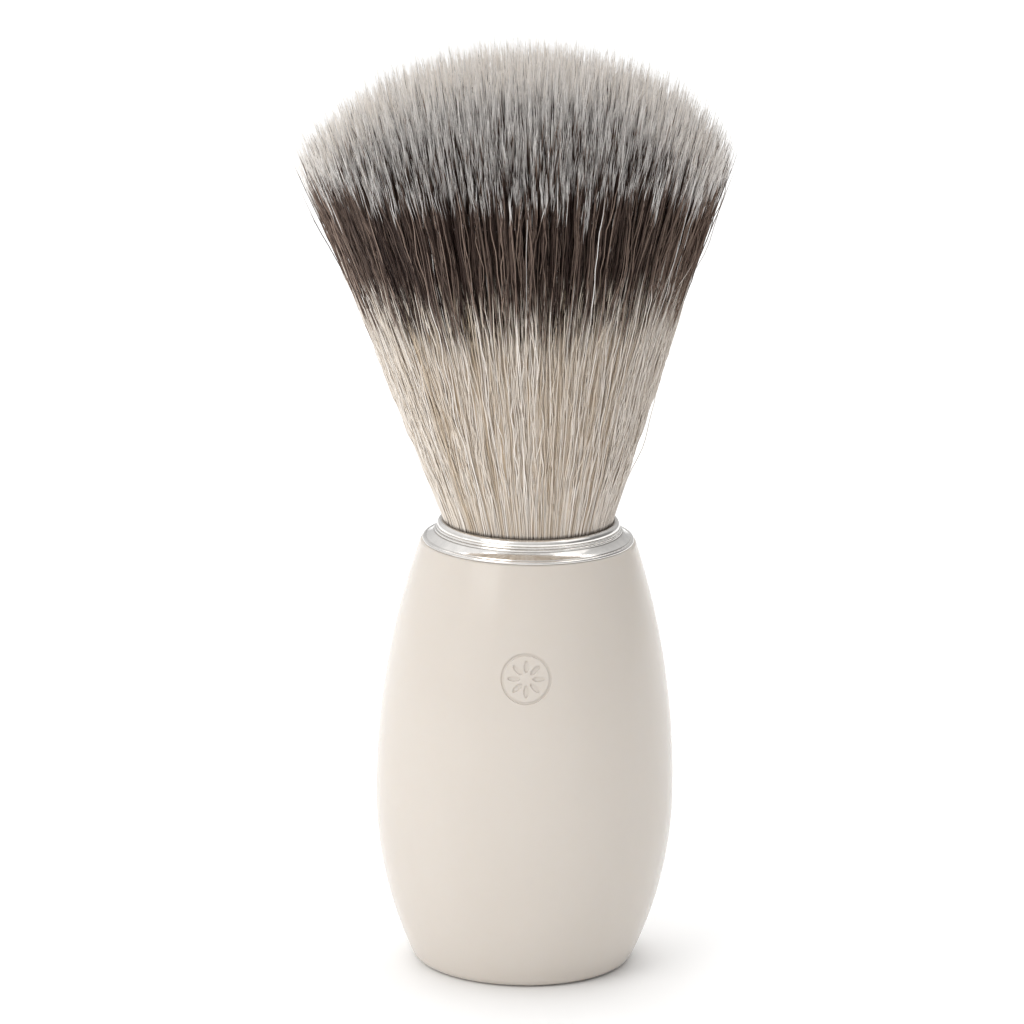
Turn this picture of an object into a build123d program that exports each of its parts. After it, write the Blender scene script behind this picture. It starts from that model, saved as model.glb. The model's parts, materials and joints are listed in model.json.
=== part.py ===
from build123d import *
import os
from math import sqrt

# Shaving brush: a turned resin handle, a two-tier metal collar and a flared knot of synthetic fibre.
# Millimetres. The origin is the centre of the foot, +Z runs up to the fibre tips and the front faces -Y.

# Handle: two arcs that meet at the belly, a flat foot and a flat shoulder.
handle_height = 53.7
belly_radius = 18.45
belly_height = 22.0
upper_arc_radius = 99.0
lower_arc_radius = 49.8
foot_edge_radius = 1.8
shoulder_edge_radius = 0.35
socket_radius = 11.65
socket_floor = 34.0
ballast_bore_radius = 7.05
ballast_bore_floor = 16.0

# Plain rosette engraved in the front of the handle: a ring groove round a ring of petals.
roundel_height = 40.4
roundel_radius = 3.1
roundel_groove_width = 0.36
petal_count = 8
petal_length = 1.5
petal_width = 0.62
petal_ring_radius = 1.5
roundel_depth = 0.14
roundel_prism_length = 30.0

# Ballast slug under the knot socket.
ballast_radius = 7.0
ballast_length = 15.0
ballast_chamfer = 0.5

# Knot: a 21 mm bundle, gathered inside its cup and flared above the mouth of the ferrule.
knot_radius = 10.5
fibre_side_play = 0.05
mouth_height = 56.3
gathered_radius = 9.3
cup_radius = 10.47
cup_wall = 0.67
cup_floor = 1.0
cup_top = 46.0
potting_floor = 1.5
band_bottom = 40.0
band_height = 3.0
flare_start = 43.6
flare_end = 50.0

# Ferrule: a thin sleeve round the knot, with a beaded rim that forms the collar's upper tier.
# Profile points are (radius, height), and crowns are how far an arc stands off its chord.
ferrule_sleeve_radius = 11.0
ferrule_bottom = 34.8
rim_bottom = 54.92
lip_radius = 0.16
band_top = (10.84, mouth_height)
band_foot = (11.26, 55.6)
upper_bead_top = (11.2, 55.5)
upper_bead_foot = (11.34, 55.22)
lower_bead_foot = (11.55, rim_bottom)
band_crown = 0.15
bead_crown = 0.13

# Collar ring: the lower tier, located in the socket by a spigot.
collar_bore_radius = 11.03
spigot_radius = 11.6
spigot_bottom = 50.0
slope_top = (11.68, rim_bottom)
slope_foot = (12.55, 54.18)
collar_bead_top = (12.61, 54.08)
collar_bead_foot = (13.05, 53.8)
collar_foot = (12.95, handle_height)
slope_hollow = 0.05
collar_bead_crown = 0.17

# Fibre bundle above the mouth: an oblique cone that leans to -X, closed by a dome centred on its axis.
flare_slope = 0.352
lean_slope = -0.055
cone_top = 118.0
dome_top = 114.6
dome_radius = 37.5
rim_edge_radius = 2.4

# Flexing stations: the bundle is parted on balls centred on the bending points.
station_heights = (61.0, 72.0, 83.0)
station_radii = (15.0, 19.5, 24.0)
station_gap = 0.35


def arc_drop(arc_radius, rise):
    """How far a vertical arc falls in from its widest point after rising by `rise`."""
    return arc_radius - sqrt(arc_radius**2 - rise**2)


def bundle_centre(height):
    """X of the bundle's axis at a height."""
    return lean_slope * (height - mouth_height)


def bundle_radius(height):
    """Radius of the bundle's cross-section at a height above the mouth."""
    return knot_radius - fibre_side_play + flare_slope * (height - mouth_height)


foot_radius = belly_radius - arc_drop(lower_arc_radius, belly_height)
shoulder_radius = belly_radius - arc_drop(upper_arc_radius, handle_height - belly_height)
cup_bottom = ferrule_bottom
cup_bore_radius = cup_radius - cup_wall
potting_bottom = cup_bottom + cup_floor
root_bottom = potting_bottom + potting_floor
ballast_top = ballast_bore_floor + ballast_length
ballast_bore_depth = socket_floor - ballast_bore_floor


def handle_outline(inset):
    """Half section of the handle's outer form, drawn in by `inset` all round."""
    with BuildSketch(Plane.XZ) as outline:
        with BuildLine():
            Polyline((0, handle_height), (0, 0), (foot_radius - inset, 0))
            TangentArc((belly_radius - inset, belly_height), (foot_radius - inset, 0), tangent=(0, -1))
            TangentArc(
                (belly_radius - inset, belly_height),
                (shoulder_radius - inset, handle_height),
                tangent=(0, 1),
            )
            Line((shoulder_radius - inset, handle_height), (0, handle_height))
        make_face()
    return outline.sketch


def disc(radius, height):
    """Round section at a height."""
    with BuildSketch(Plane.XY.offset(height)) as section:
        Circle(radius)
    return section.sketch


def ring(inner, outer, height):
    """Ring section at a height."""
    with BuildSketch(Plane.XY.offset(height)) as section:
        Circle(outer)
        Circle(inner, mode=Mode.SUBTRACT)
    return section.sketch


def bundle_section(height):
    """Round section of the leaning, flared bundle at a height."""
    with BuildSketch(Plane(origin=(bundle_centre(height), 0, height))) as section:
        Circle(bundle_radius(height))
    return section.sketch


def loft_bundle(low):
    """Oblique cone that the fibres fill, from a height up past the tips."""
    loft([bundle_section(low), bundle_section(cone_top)], ruled=True)


def station_ball(index, growth, mode):
    """Ball of a flexing station, grown by `growth`."""
    height = station_heights[index]
    with Locations((bundle_centre(height), 0, height)):
        Sphere(station_radii[index] + growth, mode=mode)


# Roundel cutter: the ring groove and the petals, all as deep as roundel_depth under the skin.
with BuildPart() as roundel_core:
    revolve(handle_outline(roundel_depth), axis=Axis.Z)

with BuildPart() as roundel_cutter:
    with BuildSketch(Plane.XZ):
        with Locations((0, roundel_height)):
            Circle(roundel_radius)
            Circle(roundel_radius - roundel_groove_width, mode=Mode.SUBTRACT)
            with PolarLocations(petal_ring_radius, petal_count):
                Ellipse(petal_length / 2, petal_width / 2)
    extrude(amount=roundel_prism_length)
    add(roundel_core.part, mode=Mode.SUBTRACT)

with BuildPart() as handle_body:
    revolve(handle_outline(0), axis=Axis.Z)
    fillet(handle_body.edges().group_by(Axis.Z)[0], foot_edge_radius)
    fillet(handle_body.edges().group_by(Axis.Z)[-1], shoulder_edge_radius)
    extrude(disc(socket_radius, socket_floor), amount=handle_height - socket_floor, mode=Mode.SUBTRACT)
    extrude(disc(ballast_bore_radius, ballast_bore_floor), amount=ballast_bore_depth, mode=Mode.SUBTRACT)
    add(roundel_cutter.part, mode=Mode.SUBTRACT)

with BuildPart() as ballast_weight:
    extrude(disc(ballast_radius, ballast_bore_floor), amount=ballast_length)
    chamfer(ballast_weight.edges().filter_by(GeomType.CIRCLE), ballast_chamfer)

with BuildPart() as ballast_cement:
    extrude(disc(ballast_bore_radius, ballast_top), amount=socket_floor - ballast_top)

# Bedding under and around the knot, up to the collar's spigot.
with BuildPart() as knot_adhesive:
    extrude(disc(socket_radius, socket_floor), amount=ferrule_bottom - socket_floor)
    extrude(ring(ferrule_sleeve_radius, socket_radius, ferrule_bottom), amount=spigot_bottom - ferrule_bottom)

with BuildPart() as collar_ring:
    with BuildSketch(Plane.XZ):
        with BuildLine():
            Polyline(
                (spigot_radius, handle_height),
                (spigot_radius, spigot_bottom),
                (collar_bore_radius, spigot_bottom),
                (collar_bore_radius, rim_bottom),
                slope_top,
            )
            SagittaArc(slope_top, slope_foot, -slope_hollow)
            Line(slope_foot, collar_bead_top)
            SagittaArc(collar_bead_top, collar_bead_foot, collar_bead_crown)
            Polyline(collar_bead_foot, collar_foot, (spigot_radius, handle_height))
        make_face()
    revolve(axis=Axis.Z)

with BuildPart() as knot_ferrule:
    with BuildSketch(Plane.XZ):
        with BuildLine():
            Polyline(
                lower_bead_foot,
                (ferrule_sleeve_radius, rim_bottom),
                (ferrule_sleeve_radius, ferrule_bottom),
                (knot_radius, ferrule_bottom),
                (knot_radius, mouth_height - lip_radius),
            )
            RadiusArc(
                (knot_radius, mouth_height - lip_radius),
                (knot_radius + lip_radius, mouth_height),
                lip_radius,
            )
            Line((knot_radius + lip_radius, mouth_height), band_top)
            SagittaArc(band_top, band_foot, band_crown)
            Line(band_foot, upper_bead_top)
            SagittaArc(upper_bead_top, upper_bead_foot, bead_crown)
            SagittaArc(upper_bead_foot, lower_bead_foot, bead_crown)
        make_face()
    revolve(axis=Axis.Z)

with BuildPart() as knot_cup:
    extrude(disc(cup_radius, cup_bottom), amount=cup_top - cup_bottom)
    extrude(disc(cup_bore_radius, potting_bottom), amount=cup_top - potting_bottom, mode=Mode.SUBTRACT)

with BuildPart() as knot_resin:
    extrude(disc(cup_bore_radius, potting_bottom), amount=potting_floor)
    extrude(ring(gathered_radius, cup_bore_radius, root_bottom), amount=band_bottom - root_bottom)

with BuildPart() as binding_band:
    extrude(ring(gathered_radius, cup_bore_radius, band_bottom), amount=band_height)

# Root of the bundle: gathered by the band, spreading to fill the ferrule, and domed above the mouth.
with BuildPart() as bristle_root:
    loft_bundle(mouth_height)
    station_ball(0, 0, Mode.INTERSECT)
    mouth_fill_radius = bundle_radius(mouth_height)
    with BuildSketch(Plane.XZ):
        with BuildLine():
            Polyline(
                (0, root_bottom),
                (gathered_radius, root_bottom),
                (gathered_radius, flare_start),
                (mouth_fill_radius, flare_end),
                (mouth_fill_radius, mouth_height),
                (0, mouth_height),
                close=True,
            )
        make_face()
    revolve(axis=Axis.Z)

with BuildPart() as bristle_lower:
    loft_bundle(station_heights[0])
    station_ball(1, 0, Mode.INTERSECT)
    station_ball(0, station_gap, Mode.SUBTRACT)

with BuildPart() as bristle_middle:
    loft_bundle(station_heights[1])
    station_ball(2, 0, Mode.INTERSECT)
    station_ball(1, station_gap, Mode.SUBTRACT)

with BuildPart() as bristle_upper:
    loft_bundle(station_heights[2])
    dome_centre = dome_top - dome_radius
    with Locations((bundle_centre(dome_centre), 0, dome_centre)):
        Sphere(dome_radius, mode=Mode.INTERSECT)
    rim_edge = bristle_upper.edges().sort_by(SortBy.LENGTH)[-1]
    fillet(rim_edge, rim_edge_radius)
    station_ball(2, station_gap, Mode.SUBTRACT)

pieces = {
    "handle_body": handle_body,
    "ballast_weight": ballast_weight,
    "ballast_cement": ballast_cement,
    "knot_adhesive": knot_adhesive,
    "collar_ring": collar_ring,
    "knot_ferrule": knot_ferrule,
    "knot_cup": knot_cup,
    "knot_resin": knot_resin,
    "binding_band": binding_band,
    "bristle_root": bristle_root,
    "bristle_lower": bristle_lower,
    "bristle_middle": bristle_middle,
    "bristle_upper": bristle_upper,
}
os.makedirs("parts", exist_ok=True)
for name, piece in pieces.items():
    piece.part.label = name
    export_step(piece.part, f"parts/{name}.step")
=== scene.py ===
import json
from math import cos, pi, radians, sin

import bpy
import numpy as np
from mathutils import Matrix, Vector


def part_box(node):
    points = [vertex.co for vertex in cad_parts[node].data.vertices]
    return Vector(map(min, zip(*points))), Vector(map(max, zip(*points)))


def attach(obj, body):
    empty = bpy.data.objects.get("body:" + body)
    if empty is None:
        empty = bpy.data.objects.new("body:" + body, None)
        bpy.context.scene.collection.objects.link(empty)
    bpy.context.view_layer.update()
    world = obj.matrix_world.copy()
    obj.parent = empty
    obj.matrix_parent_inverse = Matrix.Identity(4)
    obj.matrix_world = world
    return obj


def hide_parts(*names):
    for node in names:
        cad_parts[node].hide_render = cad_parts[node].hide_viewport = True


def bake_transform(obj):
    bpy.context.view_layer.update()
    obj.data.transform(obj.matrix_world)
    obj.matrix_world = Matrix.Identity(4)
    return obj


# Shaving brush: the CAD handle, collar and inner pieces, with the fibre knot built strand by strand.
# Metres, in the CAD frame: +Z up, the front faces -Y.

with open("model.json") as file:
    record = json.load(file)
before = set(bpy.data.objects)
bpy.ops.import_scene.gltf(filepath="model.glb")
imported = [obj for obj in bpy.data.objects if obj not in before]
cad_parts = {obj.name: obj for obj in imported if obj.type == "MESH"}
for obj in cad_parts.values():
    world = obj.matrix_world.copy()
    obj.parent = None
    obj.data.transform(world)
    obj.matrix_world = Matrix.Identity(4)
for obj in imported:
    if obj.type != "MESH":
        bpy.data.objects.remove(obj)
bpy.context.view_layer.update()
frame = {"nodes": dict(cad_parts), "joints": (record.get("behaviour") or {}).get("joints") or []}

MM = 0.001
SEED = 7321

# ---------------------------------------------------------------- places read from the frame
_, ferrule_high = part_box("knot_ferrule")
root_low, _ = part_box("bristle_root")
_, tips_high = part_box("bristle_upper")
joints = {joint["name"]: joint for joint in frame["joints"]}
mouth = ferrule_high.z
dome_top = tips_high.z

# ---------------------------------------------------------------- driving sizes of the knot
MOUTH_RADIUS = 10.4 * MM  # of the bundle where it leaves the ferrule
FLARE = 0.350  # growth of the bundle's radius with height
LEAN = -0.055  # sideways shift of its axis with height
DOME_RADIUS = 37.5 * MM  # of the ball that the tips follow, centred on the leaning axis
DOME_SHOULDER = 2.6 * MM  # extra drop towards the rim
DOME_TILT = 0.5 * MM  # how much the +X half of the dome stands higher
FRINGE = (0.12, 0.55)  # share of strands that stand out of the dome, at the front and at the back
SUNK = 1.6 * MM  # how far the strands start below the mouth
STRANDS = 16000
TUFTS = 2300
SKIN = 0.94  # share of the bundle's radius outside which strands are drawn from mouth to tip
RIM = 0.86  # the same for strands drawn down to the upper bend; the rest only show their ends
SHOWN_END = 14 * MM  # length of those ends
CORE_SHARES = (0.98, 0.955, 0.87)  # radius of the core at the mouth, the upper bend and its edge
CORE_DEPTH = 8.0 * MM  # depth of the core's top under the tips
CORE_DYE = 2.0 * MM  # distance from the dye's start whose colour the core's top takes
CORE_SEGMENTS = 420
CORE_ROWS = 12  # up the core's side
CORE_CAP_ROWS = 12  # over its top
CORE_CAP = (0.93, 0.03)  # first and last of those, as shares of its edge
CORE_RIB = 0.03 * MM
CORE_SHADE = (0.30, 0.16)  # mean and spread of its palette shade, lower than the strands': painted shade for the gaps between them
SIDES = 3
STRAND_RADIUS = (0.046 * MM, 0.074 * MM)
TIP_SPAN = 5 * MM  # length of the taper
TIP_SHARE = 0.14  # thickness left at the tip
TIP_CURVE = 0.8  # power of the taper
PACKED_SWELL = 0.28  # extra thickness at the mouth, where the strands press together
PACKED_REACH = 32 * MM
HIDDEN_SWELL = 1.8  # extra thickness of the inner strands well below their tips, which closes the dome
HIDDEN_FROM, HIDDEN_SPAN = 3.0 * MM, 6.0 * MM  # where that starts under the tip, and how long it takes
BEND_REACH = 13 * MM  # length over which the tips take up their body's turn

# ---------------------------------------------------------------- how the strands differ
# Zones are (start, span) of a smooth rise, in shares of the bundle's radius unless a comment says otherwise.
PLACE_JITTER, TUFT_JITTER = 0.9, 0.55
TUFT_HOLD, HOLD_LIMITS = (0.55, 0.18), (0.10, 0.90)  # how far tips are drawn to their tuft: mean and spread
HOLD_ALWAYS = 0.08  # the part of that which holds all the way down
HOLD_ZONE = (0.50, 0.48)  # in shares of the strand's height
TUFT_LENGTH, OWN_LENGTH = 0.25 * MM, 0.25 * MM  # spread of the tufts' and the strands' lengths
SHORTFALL = 0.4 * MM  # mean of how much shorter a strand is than its tuft
BACK_LEAD, BACK_SPAN = 0.62, 0.50  # where the bundle's back starts in front of its axis, and its rise
BACK_SIDE, BACK_SIDE_ZONE = 0.18, (0.45, 0.40)  # how much sooner it starts on the +X side
FRONT_RISE, BACK_DROP = 0.55, 1.05  # length added at the front and taken at the back, in millimetres
STAND = (0.6, 2.1)  # how far standing strands stand out, in millimetres
TALL = 1.85  # those that stand out further than this are dyed nearly to their tips
TOP_LIMIT = 0.8 * MM  # over the dome's top
LONGER_SHARE, LONGER_ZONE = 0.22, (0.88, 0.06)  # sparse long strands at the rim
LONGER = (0.6, 2.8)  # their extra length, in millimetres
BESIDE_ZONE = (0.40, 0.35)  # of the distance from the middle of the front, for those
STAND_BESIDE = 0.4  # extra length of standing strands there
RIGHT_EXTRA = 0.6  # share of the extra lengths that the +X side has
EXTRA_UNDYED = 0.9  # share of the extra lengths that is undyed
DARK_TIPPED, DYED_TIP = 0.4, 0.25  # share of the long strands dyed nearly to the tip, and undyed share left
PALE_EXTRA = 0.2  # how much lighter the other long strands are
STRAY, STRAY_ZONE = 0.26 * MM, (0.86, 0.12)  # how far strands stray outward
STRAY_RISE = (0.62, 0.38)  # in shares of the strand's height
FAR_STRAY_SHARE, FAR_STRAY, STRAY_LIMIT = 0.08, 3.2, 1.9 * MM
TUFT_WAVE, TUFT_WAVE_LENGTH = 0.035, 19 * MM  # sizes of waves are gamma scales, in millimetres
LONG_WAVE, LONG_WAVE_LENGTHS = 0.040, (14, 30)
FAR_WAVE_SHARE, FAR_WAVE = 0.03, 3.2
KINK, KINK_LENGTHS = 0.036, (4.5, 8)
FREE_REACH, FREE_ALWAYS = 9 * MM, 0.15  # height over which the waves grow, and their share at the mouth
SHADE = 0.56  # mean shade
TUFT_SHADE, OWN_SHADE = 0.12, 0.13  # its spread
SIDE_LIGHT_LEFT, SIDE_LIGHT_RIGHT = 0.14, 0.28  # painted light: how much lighter the strands at the sides are drawn
SIDE_LIGHT_LEFT_ZONE, SIDE_LIGHT_RIGHT_ZONE = (0.6, 0.4), (0.4, 0.6)
UNDER_SKIN_SHADE = 0.14  # painted shade: how much darker the strands just under the skin are drawn, where they show in the gaps
UNDER_SKIN_SHADE_ZONES = (0.78, 0.06), (0.985, 0.03)
BRIGHT_SHARE, BRIGHT, BRIGHT_SWELL = 0.15, 0.36, 1.25  # strands that stand out, their shade and thickness
PALE_SHARE = 0.014  # strands with no brown
SHIFT, SHIFT_DROP, OWN_SHIFT = 0.54, 0.34, 0.12  # of the grey band's edge: mean, drop to the rim, spread
TUFT_SHIFT = (1.3, 0.14)  # gamma shape and scale

# ---------------------------------------------------------------- driving sizes of the dye, in millimetres
# Distances run from where a strand's dye starts; a spread is how far an edge wanders from strand to strand.
LEAD = 4.0  # undyed stretch that the palette holds before the dye
LONGEST = 68.0  # length that reaches the far edge of the palette
UNDYED = 2.7  # mean undyed length at the tip, at the back
UNDYED_RANGE = (0.6, 1.4)  # of that mean
SIDE_PACE, SIDE_PACE_ZONE = 0.10, (0.45, 0.5)  # how much sooner the bands follow one another at the sides
DYE_START, DYE_FADE = -0.3, 0.9
GREY_END, GREY_FADE, GREY_SPREAD = 1.7, 1.2, 6.0
BROWN_END, BROWN_FADE, BROWN_SPREAD = 16.6, 2.6, 8.5
SHADES, SHIFTS = 8, 16  # palette columns: shades, the last one undyed, times band shifts
MOUTH_EDGE, MOUTH_REACH = 0.97, 30.0  # palette place of the mouth, and what its height scale spans
MOUTH_SHADE_REACH = 0.014  # palette share of the stretch at the mouth darkened with painted shade
PALETTE_MARGIN = 0.002  # kept clear at both ends of the palette
COLUMN_SPAN = (0.2, 0.8)  # the part of a palette column that a strand's round takes up
SCRAMBLE = 0.618  # unlinks the brown band's edge from the grey band's

# ---------------------------------------------------------------- grooves of the collar
GROOVES = ((0.75, 0.25), (1.08, 0.45), (1.38, 0.50), (2.17, 0.20), (2.58, 0.50))  # drop, darkness of the painted shade
GROOVE_HALF = 0.07 * MM
GROOVE_SPAN = 3.0 * MM  # drop from the mouth that the painted groove shade's ramp covers

# ---------------------------------------------------------------- packed fibres inside the cup and ferrule
GATHERED_RADIUS, FILLED_RADIUS = 9.25 * MM, 10.35 * MM
GATHERED_LENGTH, SPREAD_LENGTH = 6.2 * MM, 12.8 * MM  # from the root, to the start and end of the spread

# Between the bends the bundle is rigid, and the strands are parted there.
part_heights = []
for joint_name, next_name in (("base_sway", "mid_nod"), ("mid_nod", "tip_sway")):
    low, high = joints[joint_name]["pos_m"][2], joints[next_name]["pos_m"][2]
    part_heights.append((low + high) / 2)


# ---------------------------------------------------------------- material helpers
def new_material(name):
    """An empty node material with its Principled shader."""
    material = bpy.data.materials.new(name)
    material.use_nodes = True
    tree = material.node_tree
    return material, tree, tree.nodes["Principled BSDF"]


def node(tree, kind, inputs=None, **settings):
    """A shader node with its settings and input values; an input may be another node's output."""
    made = tree.nodes.new(kind)
    for key, value in settings.items():
        setattr(made, key, value)
    for key, value in (inputs or {}).items():
        if isinstance(value, bpy.types.NodeSocket):
            tree.links.new(value, made.inputs[key])
        else:
            made.inputs[key].default_value = value
    return made


def calc(tree, operation, first, second=0.0, clamp=False):
    """Output of a Math node."""
    values = {0: first, 1: second}
    return node(tree, "ShaderNodeMath", values, operation=operation, use_clamp=clamp).outputs[0]


def mix(tree, share, first, second):
    """Output of a colour Mix node."""
    made = node(tree, "ShaderNodeMix", data_type="RGBA")
    for index, value in ((0, share), (6, first), (7, second)):
        if isinstance(value, bpy.types.NodeSocket):
            tree.links.new(value, made.inputs[index])
        else:
            made.inputs[index].default_value = value
    return made.outputs[2]


def ramp(tree, factor, stops):
    """Output of a Color Ramp with (position, colour) stops."""
    made = node(tree, "ShaderNodeValToRGB", {0: factor})
    elements = made.color_ramp.elements
    while len(elements) < len(stops):
        elements.new(0.5)
    for element, (position, colour) in zip(elements, stops):
        element.position = position
        element.color = colour
    return made.outputs[0]


def noise(tree, scale, detail=3.0, roughness=0.5, stretch=None):
    """Factor of a Noise texture in the frame's own coordinates."""
    vector = node(tree, "ShaderNodeTexCoord").outputs["Object"]
    if stretch is not None:
        vector = node(tree, "ShaderNodeMapping", {"Vector": vector, "Scale": stretch}).outputs[0]
    settings = {"Vector": vector, "Scale": scale, "Detail": detail, "Roughness": roughness}
    return node(tree, "ShaderNodeTexNoise", settings).outputs[0]


def bump(tree, shader, height, strength, distance):
    """Bumps a shader's normal by a height."""
    made = node(tree, "ShaderNodeBump", {"Height": height, "Strength": strength, "Distance": distance})
    tree.links.new(made.outputs[0], shader.inputs["Normal"])


def grey(value):
    """Linear grey."""
    return (value, value, value, 1.0)


def tone(red, green, blue):
    """Linear colour from sRGB values out of 255."""
    linear = []
    for value in (red, green, blue):
        share = value / 255
        linear.append(share / 12.92 if share <= 0.04045 else ((share + 0.055) / 1.055) ** 2.4)
    return (*linear, 1.0)


# ---------------------------------------------------------------- materials
def handle_resin():
    """Cast ivory resin: faint clouding in the body, a satin skin with slight ripple."""
    material, tree, shader = new_material("ivory_resin")
    cloud = noise(tree, 55, 4, stretch=(1, 1, 0.45))
    fleck = noise(tree, 900, 2)
    body = mix(tree, cloud, tone(207, 199, 190), tone(215, 208, 200))
    body = mix(tree, calc(tree, "MULTIPLY", fleck, 0.10), body, tone(199, 188, 174))
    tree.links.new(body, shader.inputs["Base Color"])
    rough = ramp(tree, noise(tree, 160, 4), [(0.3, grey(0.17)), (0.75, grey(0.25))])
    tree.links.new(rough, shader.inputs["Roughness"])
    shader.inputs["Subsurface Weight"].default_value = 0.12
    shader.inputs["Subsurface Radius"].default_value = (1.0, 0.7, 0.45)
    shader.inputs["Subsurface Scale"].default_value = 1.2 * MM
    shader.inputs["IOR"].default_value = 1.52
    shader.inputs["Specular IOR Level"].default_value = 0.3
    bump(tree, shader, noise(tree, 120, 3), 0.03, 0.4 * MM)
    return material


def polished_metal(name, base, turned):
    """Polished plated metal: fine turning lines, faint smears, and painted shade in the grooves and at the
    mouth's lip.
    """
    material, tree, shader = new_material(name)
    lines = noise(tree, 60, 3, stretch=(1, 1, turned))
    smear = noise(tree, 380, 5, roughness=0.65)
    dulled = tuple(0.84 * value for value in base[:3]) + (1.0,)
    colour = mix(tree, ramp(tree, smear, [(0.35, grey(0.0)), (0.75, grey(1.0))]), base, dulled)
    # Painted shade: dark lines at the grooves' heights and a dark edge at the mouth's lip, which are also made
    # rougher.
    place = node(tree, "ShaderNodeTexCoord").outputs["Object"]
    height = node(tree, "ShaderNodeSeparateXYZ", {0: place}).outputs[2]
    drop = calc(tree, "DIVIDE", calc(tree, "SUBTRACT", mouth, height), GROOVE_SPAN, clamp=True)
    stops = [(0.0, grey(0.5)), (0.03, grey(0.0))]
    for groove, darkness in GROOVES:
        middle, half = groove * MM / GROOVE_SPAN, GROOVE_HALF / GROOVE_SPAN
        stops += [(middle - half, grey(0.0)), (middle, grey(darkness)), (middle + half, grey(0.0))]
    groove_shade = ramp(tree, drop, stops)
    colour = mix(tree, calc(tree, "MULTIPLY", groove_shade, 0.85), colour, (0.10, 0.085, 0.07, 1.0))
    tree.links.new(colour, shader.inputs["Base Color"])
    shader.inputs["Metallic"].default_value = 1.0
    rough = ramp(tree, smear, [(0.35, grey(0.08)), (0.8, grey(0.20))])
    rough = mix(tree, groove_shade, rough, grey(0.5))
    tree.links.new(rough, shader.inputs["Roughness"])
    bump(tree, shader, lines, 0.05, 0.05 * MM)
    return material


def plain_material(name, dark, light, roughness, scale, metallic=0.0, stretch=None, strength=0.2):
    """A mottled, slightly uneven material for the pieces inside the handle."""
    material, tree, shader = new_material(name)
    pattern = noise(tree, scale, 5, stretch=stretch, roughness=0.6)
    tree.links.new(mix(tree, pattern, dark, light), shader.inputs["Base Color"])
    shader.inputs["Metallic"].default_value = metallic
    rough = ramp(tree, pattern, [(0.3, grey(roughness)), (0.8, grey(min(1.0, roughness * 1.4)))])
    tree.links.new(rough, shader.inputs["Roughness"])
    bump(tree, shader, pattern, strength, 0.1 * MM)
    return material


def moved(tree, distance, shift, spread):
    """Distance less a strand's shift times the spread of an edge."""
    made = calc(tree, "MULTIPLY_ADD", shift, -spread)
    tree.links.new(distance, made.node.inputs[2])
    return made


def dye_edge(tree, distance, start, fade):
    """Share of the way across a dye edge that starts at a distance."""
    return calc(tree, "DIVIDE", calc(tree, "SUBTRACT", distance, start), fade, clamp=True)


def fibre():
    """Dyed synthetic fibre. U picks a shade and a band shift for each strand, V runs down from the tip."""
    material, tree, shader = new_material("banded_fibre")
    uv = node(tree, "ShaderNodeUVMap", uv_map="OFBake").outputs[0]
    split = node(tree, "ShaderNodeSeparateXYZ", {0: uv})
    column = calc(tree, "MULTIPLY", split.outputs[0], SHADES)
    shade = calc(tree, "FLOOR", column)
    level = calc(tree, "DIVIDE", shade, SHADES - 2, clamp=True)
    dyed = calc(tree, "LESS_THAN", shade, SHADES - 1.5)
    place = calc(tree, "FLOOR", calc(tree, "MULTIPLY", calc(tree, "FRACT", column), SHIFTS))
    upper_shift = calc(tree, "SUBTRACT", calc(tree, "DIVIDE", place, SHIFTS - 1), 0.5)
    scrambled = calc(tree, "FRACT", calc(tree, "MULTIPLY", place, SCRAMBLE))
    lower_shift = calc(tree, "SUBTRACT", scrambled, 0.5)
    distance = calc(tree, "SUBTRACT", calc(tree, "MULTIPLY", split.outputs[1], LONGEST), LEAD)
    tip = mix(tree, level, tone(238, 229, 218), tone(254, 250, 246))
    grey_dye = mix(tree, level, tone(164, 160, 158), tone(250, 247, 244))
    brown_dye = mix(tree, calc(tree, "POWER", level, 3.0), tone(48, 32, 26), tone(147, 127, 115))
    cream = mix(tree, level, tone(203, 184, 159), tone(245, 238, 230))
    into_grey = dye_edge(tree, distance, DYE_START, DYE_FADE)
    into_brown = dye_edge(tree, moved(tree, distance, upper_shift, GREY_SPREAD), GREY_END, GREY_FADE)
    into_cream = dye_edge(tree, moved(tree, distance, lower_shift, BROWN_SPREAD), BROWN_END, BROWN_FADE)
    colour = mix(tree, into_grey, tip, grey_dye)
    colour = mix(tree, calc(tree, "MULTIPLY", into_brown, dyed), colour, brown_dye)
    colour = mix(tree, into_cream, colour, cream)
    # Just above the mouth the strands are darkened: painted shade where they go into the metal.
    mouth_shade = calc(tree, "SUBTRACT", split.outputs[1], MOUTH_EDGE - MOUTH_SHADE_REACH)
    colour = mix(tree, calc(tree, "DIVIDE", mouth_shade, MOUTH_SHADE_REACH, clamp=True), colour, tone(146, 136, 127))
    tree.links.new(colour, shader.inputs["Base Color"])
    shader.inputs["Roughness"].default_value = 0.5
    shader.inputs["IOR"].default_value = 1.5
    shader.inputs["Specular IOR Level"].default_value = 0.22
    return material


# ---------------------------------------------------------------- the fibre knot
def bundle_centre(height):
    """X of the bundle's axis at a height."""
    return LEAN * np.maximum(height - mouth, 0)


def bundle_radius(height):
    """Radius of the bundle at a height."""
    return MOUTH_RADIUS + FLARE * np.maximum(height - mouth, 0)


def smooth(share):
    """Smooth step of a share."""
    share = np.clip(share, 0, 1)
    return share * share * (3 - 2 * share)


def rise(values, start, span):
    """Smooth rise from 0 to 1 over a span from a start."""
    return smooth((values - start) / span)


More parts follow.
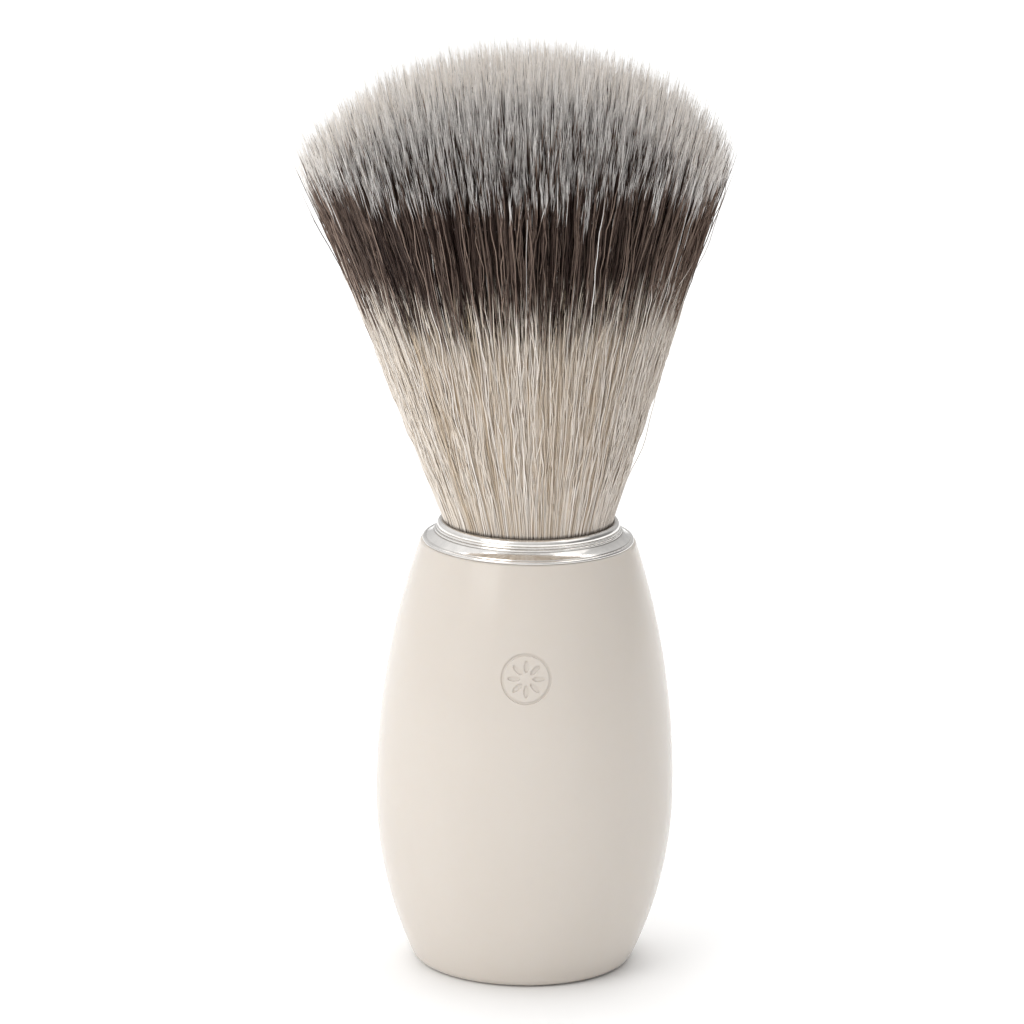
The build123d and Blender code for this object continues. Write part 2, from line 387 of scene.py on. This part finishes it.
def sunflower(count, rng, jitter):
    """Evenly spread points in the unit disc, each moved a little."""
    index = np.arange(count) + 0.5
    radius = np.sqrt(index / count)
    angle = index * pi * (3 - 5**0.5)
    points = np.stack([radius * np.cos(angle), radius * np.sin(angle)], 1)
    points += rng.normal(0, jitter / np.sqrt(count), points.shape)
    length = np.linalg.norm(points, axis=1)
    return points / np.maximum(length, 1)[:, None]


def dome_height(place):
    """Height of the domed end at places given as shares of the bundle's radius."""
    middle = dome_top - DOME_RADIUS
    height = np.full(len(place), dome_top)
    for _ in range(4):
        across = bundle_centre(height) - bundle_centre(middle) + place[:, 0] * bundle_radius(height)
        deep = place[:, 1] * bundle_radius(height)
        height = middle + np.sqrt(DOME_RADIUS**2 - across**2 - deep**2)
    share = np.linalg.norm(place, axis=1)
    return height - DOME_SHOULDER * share**6 + DOME_TILT * place[:, 0] * (1 - share**4)


def palette_v(from_dye, heights):
    """Palette place of a point, by its distance from the dye's start, or near the mouth by its height."""
    above_mouth = (heights - mouth) / (MOUTH_REACH * MM)
    place = np.minimum((from_dye + LEAD * MM) / (LONGEST * MM), MOUTH_EDGE - MOUTH_SHADE_REACH)
    return np.clip(np.maximum(place, MOUTH_EDGE - above_mouth), PALETTE_MARGIN, 1 - PALETTE_MARGIN)


class Knot:
    """Every strand's place in the bundle, its tuft, its length, its waves and its palette column."""

    def __init__(self):
        rng = np.random.default_rng(SEED)
        self.place = sunflower(STRANDS, rng, PLACE_JITTER)
        self.tufts = sunflower(TUFTS, rng, TUFT_JITTER)
        self.tuft = self.nearest_tufts()
        self.share = np.linalg.norm(self.place, axis=1)
        self.hold = np.clip(rng.normal(*TUFT_HOLD, TUFTS), *HOLD_LIMITS)[self.tuft]

        # Lengths. The back's dome is a little lower, with more strands standing out of it.
        tuft_length = rng.normal(0, TUFT_LENGTH, TUFTS)[self.tuft]
        across, deep = self.place.T
        back = smooth((deep + BACK_LEAD + BACK_SIDE * rise(across, *BACK_SIDE_ZONE)) / BACK_SPAN)
        own_length = rng.normal(0, OWN_LENGTH, STRANDS) - rng.exponential(SHORTFALL, STRANDS)
        standing = rng.random(STRANDS) < FRINGE[0] + (FRINGE[1] - FRINGE[0]) * back
        stand = rng.uniform(*STAND, STRANDS) * MM * standing
        own_length += stand
        self.undyed = UNDYED * MM * back * rng.uniform(*UNDYED_RANGE, STRANDS)

        # Sparse long strands round the sides of the rim, some of them dyed nearly to their tips.
        rim_rng = np.random.default_rng(SEED + 2)
        beside = rise(np.abs(across), *BESIDE_ZONE)
        longer = rim_rng.random(STRANDS) < LONGER_SHARE * beside * rise(self.share, *LONGER_ZONE)
        extra = rim_rng.uniform(*LONGER, STRANDS) * MM * longer
        extra += STAND_BESIDE * stand * beside * rim_rng.random(STRANDS)
        extra *= np.where(across > 0, RIGHT_EXTRA, 1.0)
        own_length += extra
        self.undyed += EXTRA_UNDYED * extra
        dark_tipped = longer & (rim_rng.random(STRANDS) < DARK_TIPPED)
        self.undyed[dark_tipped | (stand > TALL * MM)] *= DYED_TIP
        self.dye_pace = 1 + SIDE_PACE * rise(np.abs(across), *SIDE_PACE_ZONE)
        self.tip = dome_height(self.place) + (FRONT_RISE - BACK_DROP * back) * MM + tuft_length + own_length
        self.tip = np.minimum(self.tip, dome_top + TOP_LIMIT)

        # Strays and waves.
        self.stray = rng.exponential(STRAY, STRANDS) * rise(self.share, *STRAY_ZONE)
        self.stray[rng.random(STRANDS) < FAR_STRAY_SHARE] *= FAR_STRAY
        self.stray = np.minimum(self.stray, STRAY_LIMIT)
        self.radius = rng.uniform(*STRAND_RADIUS, STRANDS)
        self.tuft_wave = rng.uniform(0, 2 * pi, (TUFTS, 2))[self.tuft]
        self.tuft_size = (rng.gamma(3.0, TUFT_WAVE, TUFTS) * MM)[self.tuft]
        self.long_wave = rng.uniform(0, 2 * pi, (STRANDS, 2))
        self.long_size = rng.gamma(3.0, LONG_WAVE, STRANDS) * MM
        self.long_size[rng.random(STRANDS) < FAR_WAVE_SHARE] *= FAR_WAVE
        self.long_length = rng.uniform(*LONG_WAVE_LENGTHS, STRANDS) * MM
        self.kink_wave = rng.uniform(0, 2 * pi, (STRANDS, 2))
        self.kink_size = rng.gamma(2.0, KINK, STRANDS) * MM
        self.kink_length = rng.uniform(*KINK_LENGTHS, STRANDS) * MM

        # Shade and band shift, which pick the palette column.
        tuft_shade = rng.normal(0, TUFT_SHADE, TUFTS)[self.tuft]
        # Painted shade: the strands just under the skin are drawn darker, as they show in the gaps between the
        # outer ones.
        (skin_start, skin_span), (skin_end, skin_fade) = UNDER_SKIN_SHADE_ZONES
        under_skin_shade = rise(self.share, skin_start, skin_span) * smooth((skin_end - self.share) / skin_fade)
        # Painted light: the strands at the sides are drawn lighter, the +X side more, to lift the shade they
        # fall in.
        side_light = SIDE_LIGHT_LEFT * rise(-across, *SIDE_LIGHT_LEFT_ZONE) + SIDE_LIGHT_RIGHT * rise(across, *SIDE_LIGHT_RIGHT_ZONE)
        level = SHADE + side_light + PALE_EXTRA * (longer & ~dark_tipped) - UNDER_SKIN_SHADE * under_skin_shade + tuft_shade
        level = level + rng.normal(0, OWN_SHADE, STRANDS)
        bright = rng.random(STRANDS) < BRIGHT_SHARE
        level[bright] += BRIGHT
        self.radius[bright] *= BRIGHT_SWELL
        shade = np.floor(np.clip(level, 0, 0.999) * (SHADES - 1))
        shade[rng.random(STRANDS) < PALE_SHARE] = SHADES - 1
        tuft_shift = rng.gamma(*TUFT_SHIFT, TUFTS)[self.tuft]
        shift = SHIFT - SHIFT_DROP * self.share**3 + tuft_shift + rng.normal(0, OWN_SHIFT, STRANDS)
        shift = np.clip(shift, 0, 0.999)
        self.column = shade * SHIFTS + np.floor(shift * SHIFTS)

    def nearest_tufts(self, batch=1200):
        """Index of the tuft nearest to each strand, found in batches to save memory."""
        nearest = np.empty(STRANDS, int)
        for first in range(0, STRANDS, batch):
            part = self.place[first:first + batch]
            gap = ((part[:, None, :] - self.tufts[None, :, :]) ** 2).sum(2)
            nearest[first:first + batch] = gap.argmin(1)
        return nearest

    def points(self, chosen, heights):
        """Centreline points of the chosen strands; heights has a row for each of them."""
        span = (heights - mouth) / (self.tip[chosen] - mouth)[:, None]
        pull = self.hold[chosen][:, None] * (HOLD_ALWAYS + (1 - HOLD_ALWAYS) * rise(span, *HOLD_ZONE))
        start = self.place[chosen][:, None, :]
        goal = self.tufts[self.tuft[chosen]][:, None, :]
        place = start + (goal - start) * pull[:, :, None]
        found = place * bundle_radius(heights)[:, :, None]
        free = smooth((heights - mouth) / FREE_REACH) * (1 - FREE_ALWAYS) + FREE_ALWAYS
        tuft_turn = 2 * pi * heights / TUFT_WAVE_LENGTH
        long_turn = 2 * pi * heights / self.long_length[chosen][:, None]
        kink_turn = 2 * pi * heights / self.kink_length[chosen][:, None]
        for axis in (0, 1):
            wave = self.tuft_size[chosen][:, None] * np.sin(tuft_turn + self.tuft_wave[chosen, axis][:, None])
            wave += self.long_size[chosen][:, None] * np.sin(long_turn + self.long_wave[chosen, axis][:, None])
            wave += self.kink_size[chosen][:, None] * np.sin(kink_turn + self.kink_wave[chosen, axis][:, None])
            found[:, :, axis] += wave * free
        outward = self.place[chosen] / np.maximum(self.share[chosen], 0.01)[:, None]
        stray = self.stray[chosen][:, None] * rise(span, *STRAY_RISE)
        found += outward[:, None, :] * stray[:, :, None]
        found[:, :, 0] += bundle_centre(heights)
        return np.concatenate([found, heights[:, :, None]], 2)


def palette_uvs(mesh, u, v):
    """Gives a mesh its palette UV layer."""
    layer = mesh.uv_layers.new(name="OFBake")
    layer.data.foreach_set("uv", np.stack([u, v], 1).astype(np.float32).ravel())


def linked(name, data):
    """A new object in the scene."""
    made = bpy.data.objects.new(name, data)
    bpy.context.scene.collection.objects.link(made)
    return made


def strand_mesh(name, knot, chosen, low, high, steps):
    """Tapered tubes for the chosen strands, from low up to high or the tip where high is None."""
    low = np.broadcast_to(low, len(chosen))[:, None]
    top = knot.tip[chosen] if high is None else np.minimum(knot.tip[chosen], high)
    share = np.linspace(0, 1, steps + 1)
    if high is None:
        share = 1 - (1 - share) ** 1.25
    heights = low + (top[:, None] - low) * share[None, :]
    centre = knot.points(chosen, heights)
    count, rings = heights.shape
    along = np.gradient(centre, axis=1)
    along /= np.linalg.norm(along, axis=2, keepdims=True)
    side = np.cross(along, np.array([0.0, 1.0, 0.0]))
    side /= np.linalg.norm(side, axis=2, keepdims=True)
    other = np.cross(along, side)
    slant = np.hypot(1, FLARE * knot.share[chosen])[:, None]
    from_tip = (knot.tip[chosen][:, None] - heights) * slant
    thick = TIP_SHARE + (1 - TIP_SHARE) * np.clip(from_tip / TIP_SPAN, 0, 1) ** TIP_CURVE
    thick *= 1 + PACKED_SWELL * (1 - smooth((heights - mouth) / PACKED_REACH))
    hidden = (knot.share[chosen] < RIM)[:, None]
    thick *= 1 + HIDDEN_SWELL * hidden * rise(from_tip, HIDDEN_FROM, HIDDEN_SPAN)
    radius = knot.radius[chosen][:, None] * thick
    angles = 2 * pi * np.arange(SIDES) / SIDES
    ring = side[:, :, None, :] * np.cos(angles)[:, None] + other[:, :, None, :] * np.sin(angles)[:, None]
    points = centre[:, :, None, :] + ring * radius[:, :, None, None]
    base = np.arange(count)[:, None, None] * rings * SIDES
    step = np.arange(rings - 1)[None, :, None] * SIDES
    turn = np.arange(SIDES)[None, None, :]
    after = (turn + 1) % SIDES
    quads = np.stack([base + step + turn, base + step + after,
                      base + step + SIDES + after, base + step + SIDES + turn], 3).reshape(-1, 4)
    ends = [base[:, 0, 0][:, None] + np.arange(SIDES)[None, ::-1],
            base[:, 0, 0][:, None] + (rings - 1) * SIDES + np.arange(SIDES)[None, :]]
    faces_end = np.concatenate(ends)
    corners = np.concatenate([quads.ravel(), faces_end.ravel()])
    sizes = np.concatenate([np.full(len(quads), 4), np.full(len(faces_end), SIDES)])
    mesh = bpy.data.meshes.new(name)
    mesh.vertices.add(count * rings * SIDES)
    mesh.vertices.foreach_set("co", points.astype(np.float32).ravel())
    mesh.loops.add(len(corners))
    mesh.loops.foreach_set("vertex_index", corners.astype(np.int32))
    mesh.polygons.add(len(sizes))
    mesh.polygons.foreach_set("loop_start", (np.cumsum(sizes) - sizes).astype(np.int32))
    # Palette UVs: each quad spans the middle of its strand's column.
    columns = SHADES * SHIFTS
    strand_of = corners // (rings * SIDES)
    level_of = (corners % (rings * SIDES)) // SIDES
    left = np.tile([True, False, False, True], len(quads))
    left = np.concatenate([left, np.tile(np.arange(SIDES) == 0, len(faces_end))])
    u = (knot.column[chosen][strand_of] + np.where(left, *COLUMN_SPAN)) / columns
    from_dye = from_tip * knot.dye_pace[chosen][:, None] - knot.undyed[chosen][:, None]
    v = palette_v(from_dye, heights)[strand_of, level_of]
    palette_uvs(mesh, u, v)
    mesh.update(calc_edges=True)
    mesh.polygons.foreach_set("use_smooth", np.arange(len(mesh.polygons)) < len(quads))
    edge_of = np.empty(len(corners), np.int32)
    mesh.loops.foreach_get("edge_index", edge_of)
    sharp = np.zeros(len(mesh.edges), bool)
    sharp[edge_of[4 * len(quads):]] = True
    mesh.edges.foreach_set("use_edge_sharp", sharp)
    return linked(name, mesh)


def core_mesh(name, low, high):
    """Ribbed surface of the packed fibres behind the outer strands. None as high closes it under the dome."""
    rng = np.random.default_rng(SEED + 1)
    angle = 2 * pi * np.arange(CORE_SEGMENTS) / CORE_SEGMENTS
    rib = rng.normal(0, CORE_RIB, CORE_SEGMENTS)
    # Painted shade: the core takes darker shades than the strands, so the gaps between them read as warm shade.
    shade = np.floor(np.clip(rng.normal(*CORE_SHADE, CORE_SEGMENTS), 0, 0.999) * (SHADES - 1))
    column = shade * SHIFTS + rng.integers(0, SHIFTS, CORE_SEGMENTS)
    mottle = rng.integers(0, (SHADES - 1) * SHIFTS, (CORE_CAP_ROWS, CORE_SEGMENTS))
    round_place = np.stack([np.cos(angle), np.sin(angle)], 1)
    rim_tip = dome_height(round_place)
    edge = dome_height(round_place * CORE_SHARES[2]) - CORE_DEPTH
    top = edge if high is None else np.full(CORE_SEGMENTS, high)
    rows = []
    for step in np.linspace(0, 1, CORE_ROWS + 1):
        height = low + (top - low) * step
        share = np.interp(height, (mouth, part_heights[1], edge.mean()), CORE_SHARES)
        rows.append((share, height, (rim_tip - height) * np.hypot(1, FLARE)))
    if high is None:
        for step in np.linspace(*CORE_CAP, CORE_CAP_ROWS):
            share = np.full(CORE_SEGMENTS, CORE_SHARES[2] * step)
            height = dome_height(round_place * share[:, None]) - CORE_DEPTH
            rows.append((share, height, np.full(CORE_SEGMENTS, CORE_DYE)))
    share, height, from_tip = (np.array(values) for values in zip(*rows))
    radius = share * bundle_radius(height) + rib
    points = np.stack([bundle_centre(height) + radius * np.cos(angle), radius * np.sin(angle), height], 2)
    row, turn = np.mgrid[0:len(rows) - 1, 0:CORE_SEGMENTS]
    after = (turn + 1) % CORE_SEGMENTS
    faces = np.stack([row * CORE_SEGMENTS + turn, row * CORE_SEGMENTS + after,
                      (row + 1) * CORE_SEGMENTS + after, (row + 1) * CORE_SEGMENTS + turn], 2).reshape(-1, 4)
    mesh = bpy.data.meshes.new(name)
    mesh.from_pydata(points.reshape(-1, 3).tolist(), [], faces.tolist())
    corners = faces.ravel()
    # One column up each rib, and a scatter of columns over the top.
    columns = np.broadcast_to(column, row.shape).copy()
    columns[CORE_ROWS:] = mottle[:len(columns) - CORE_ROWS]
    left, right = COLUMN_SPAN
    u = (np.repeat(columns.ravel(), 4) + np.tile([left, right, right, left], len(faces))) / (SHADES * SHIFTS)
    v = palette_v(from_tip, height).ravel()[corners]
    palette_uvs(mesh, u, v)
    mesh.update(calc_edges=True)
    return linked(name, mesh)


def build_knot(material):
    """The strands and their core in parted lengths."""
    knot = Knot()
    skin = knot.share >= SKIN
    rim = knot.share >= RIM
    left = knot.place[:, 0] < 0
    first, second = part_heights
    bend_end = second + BEND_REACH
    ends = knot.tip - SHOWN_END
    stages = (
        ("foot", mouth - SUNK, first, ("handle", "knot_base"), mouth, first, 10, skin, "bristle_lower"),
        ("middle", first, second, ("knot_base", "knot_mid"), first, second, 10, skin, "bristle_middle"),
        ("tips", second, None, ("knot_mid", "knot_tips"), second, bend_end, 15, rim, "bristle_upper"),
        ("ends", None, None, ("knot_mid", "knot_tips"), second, bend_end, 5, ~rim, "bristle_upper"),
    )
    for stage, low, high, bodies, start, end, steps, group, stands_for in stages:
        pieces = []
        for side, on_side in (("left", left), ("right", ~left)):
            chosen = np.nonzero(group & on_side)[0]
            bottom = ends[chosen] if low is None else low
            pieces.append(strand_mesh(f"fibres_{stage}_{side}", knot, chosen, bottom, high, steps))
        if low is not None:
            pieces.append(core_mesh(f"fibres_{stage}_core", low, high))
        for piece in pieces:
            piece.data.materials.append(material)
            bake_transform(piece)
            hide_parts(stands_for)


def lathe(name, outline, segments, ripple, ripples):
    """Revolved mesh of (radius, height) points, closed at both ends, with a ribbed surface."""
    vertices, faces = [], []
    for radius, height in outline:
        for index in range(segments):
            angle = 2 * pi * index / segments
            out = radius + ripple * sin(ripples * angle) * (radius > 0.002)
            vertices.append((out * cos(angle), out * sin(angle), height))
    for level in range(len(outline) - 1):
        for index in range(segments):
            after = (index + 1) % segments
            low, high = level * segments, (level + 1) * segments
            faces.append((low + index, low + after, high + after, high + index))
    faces.append(tuple(range(segments))[::-1])
    faces.append(tuple(range((len(outline) - 1) * segments, len(outline) * segments)))
    mesh = bpy.data.meshes.new(name)
    mesh.from_pydata(vertices, [], faces)
    mesh.update()
    mesh.polygons.foreach_set("use_smooth", np.ones(len(mesh.polygons), bool))
    return linked(name, mesh)


def build_gathered_fibres(material):
    """The packed fibres inside the cup and ferrule, up to just under the mouth."""
    bottom = root_low.z
    outline = [
        (GATHERED_RADIUS, bottom),
        (GATHERED_RADIUS, bottom + GATHERED_LENGTH),
        (FILLED_RADIUS, bottom + SPREAD_LENGTH),
        (FILLED_RADIUS, mouth - 1.2 * MM),
        (FILLED_RADIUS * 0.6, mouth - 0.9 * MM),
        (FILLED_RADIUS * 0.1, mouth - 0.8 * MM),
    ]
    piece = lathe("fibres_gathered", outline, 720, 0.05 * MM, 180)
    piece.data.materials.append(material)
    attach(piece, "handle")
    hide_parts("bristle_root")


# ---------------------------------------------------------------- the CAD pieces' materials
def dress(name, material, smooth_angle):
    """Gives a CAD node its material and smooth shading."""
    piece = frame["nodes"][name]
    piece.data.materials.clear()
    piece.data.materials.append(material)
    piece.data.polygons.foreach_set("use_smooth", np.ones(len(piece.data.polygons), bool))
    piece.data.set_sharp_from_angle(angle=radians(smooth_angle))


def dress_frame():
    resin = handle_resin()
    chrome = polished_metal("plated_collar", (0.92, 0.892, 0.86, 1.0), 60)
    bright = polished_metal("plated_ferrule", (0.93, 0.903, 0.87, 1.0), 60)
    cement = plain_material("bedding_cement", tone(214, 204, 178), tone(232, 224, 204), 0.6, 300)
    cup = plain_material("cup_plastic", tone(222, 221, 215), tone(232, 231, 226), 0.4, 500, strength=0.05)
    potting = plain_material("potting_resin", tone(178, 142, 82), tone(204, 168, 104), 0.25, 200, strength=0.05)
    thread = plain_material("binding_thread", tone(205, 198, 184), tone(238, 234, 224), 0.8, 300,
                            stretch=(1, 1, 14), strength=0.6)
    steel = plain_material("ballast_steel", grey(0.36), grey(0.5), 0.3, 220, 1.0, (1, 1, 12))
    dress("handle_body", resin, 40)
    dress("collar_ring", chrome, 32)
    dress("knot_ferrule", bright, 32)
    dress("knot_adhesive", cement, 40)
    dress("ballast_cement", cement, 40)
    dress("knot_cup", cup, 40)
    dress("knot_resin", potting, 40)
    dress("binding_band", thread, 40)
    dress("ballast_weight", steel, 30)


# ---------------------------------------------------------------- studio
def build_camera():
    """A long lens in front, a little above, tilted slightly to one side."""
    distance = 750 * MM
    elevation = radians(14.2)
    roll = radians(0.83)
    middle = Vector((0, 0, 54 * MM))
    aim = Vector((-2.05 * MM, 0, 57.1 * MM))
    data = bpy.data.cameras.new("camera")
    data.sensor_width = 36
    data.lens = 213.9
    data.clip_start = 0.05
    data.clip_end = 20
    camera = linked("camera", data)
    place = middle + distance * Vector((0, -cos(elevation), sin(elevation)))
    turn = (aim - place).to_track_quat("-Z", "Y").to_matrix().to_4x4()
    camera.matrix_world = Matrix.Translation(place) @ turn @ Matrix.Rotation(roll, 4, "Z")
    bpy.context.scene.camera = camera


def area_light(name, place, target, size, power, colour):
    """A rectangular light at a place, facing a target."""
    data = bpy.data.lights.new(name, "AREA")
    data.shape = "RECTANGLE"
    data.size, data.size_y = size
    data.energy = power
    data.color = colour
    made = linked(name, data)
    direction = Vector(target) - Vector(place)
    made.matrix_world = Matrix.Translation(place) @ direction.to_track_quat("-Z", "Y").to_matrix().to_4x4()


def build_studio():
    """Pale floor, a soft key from the left, and a sky that darkens to the right."""
    area_light("key", (-0.55, -0.55, 0.55), (0, 0, 0.06), (0.5, 0.6), 2.7, (1.0, 0.985, 0.96))
    area_light("fill", (0.55, -0.15, 0.75), (0, 0, 0.09), (0.6, 0.6), 0.6, (1.0, 0.99, 0.98))
    area_light("top", (0.0, 0.30, 0.85), (0, 0.1, 0.05), (0.9, 0.9), 5.0, (1.0, 1.0, 1.0))
    world = bpy.data.worlds.new("studio")
    world.use_nodes = True
    bpy.context.scene.world = world
    tree = world.node_tree
    sky = node(tree, "ShaderNodeTexCoord").outputs["Generated"]
    across, _, up = node(tree, "ShaderNodeSeparateXYZ", {0: sky}).outputs
    share = calc(tree, "MULTIPLY_ADD", across, 0.5)
    share.node.inputs[2].default_value = 0.5
    tones = ((0.1, 0.90), (0.55, 0.71), (0.85, 0.53), (0.88, 0.33), (0.97, 0.26))
    strengths = ((0.0, 0.82), (0.35, 0.90), (0.8, 1.16))
    colour = ramp(tree, share, [(place, grey(value)) for place, value in tones])
    strength = ramp(tree, up, [(place, grey(value)) for place, value in strengths])
    background = tree.nodes["Background"]
    tree.links.new(colour, background.inputs[0])
    tree.links.new(strength, background.inputs[1])
    mesh = bpy.data.meshes.new("studio_floor")
    reach = 3.0
    corners = [(-reach, -reach, 0), (reach, -reach, 0), (reach, reach, 0), (-reach, reach, 0)]
    mesh.from_pydata(corners, [], [(0, 1, 2, 3)])
    floor = linked("studio_floor", mesh)
    material, tree, shader = new_material("floor_paint")
    paint = mix(tree, noise(tree, 3, 3), grey(0.92), grey(0.95))
    tree.links.new(paint, shader.inputs["Base Color"])
    shader.inputs["Roughness"].default_value = 0.9
    floor.data.materials.append(material)
    bpy.context.scene.view_settings.view_transform = "Standard"


build_camera()
dress_frame()
strand_material = fibre()
build_gathered_fibres(strand_material)
build_knot(strand_material)
build_studio()
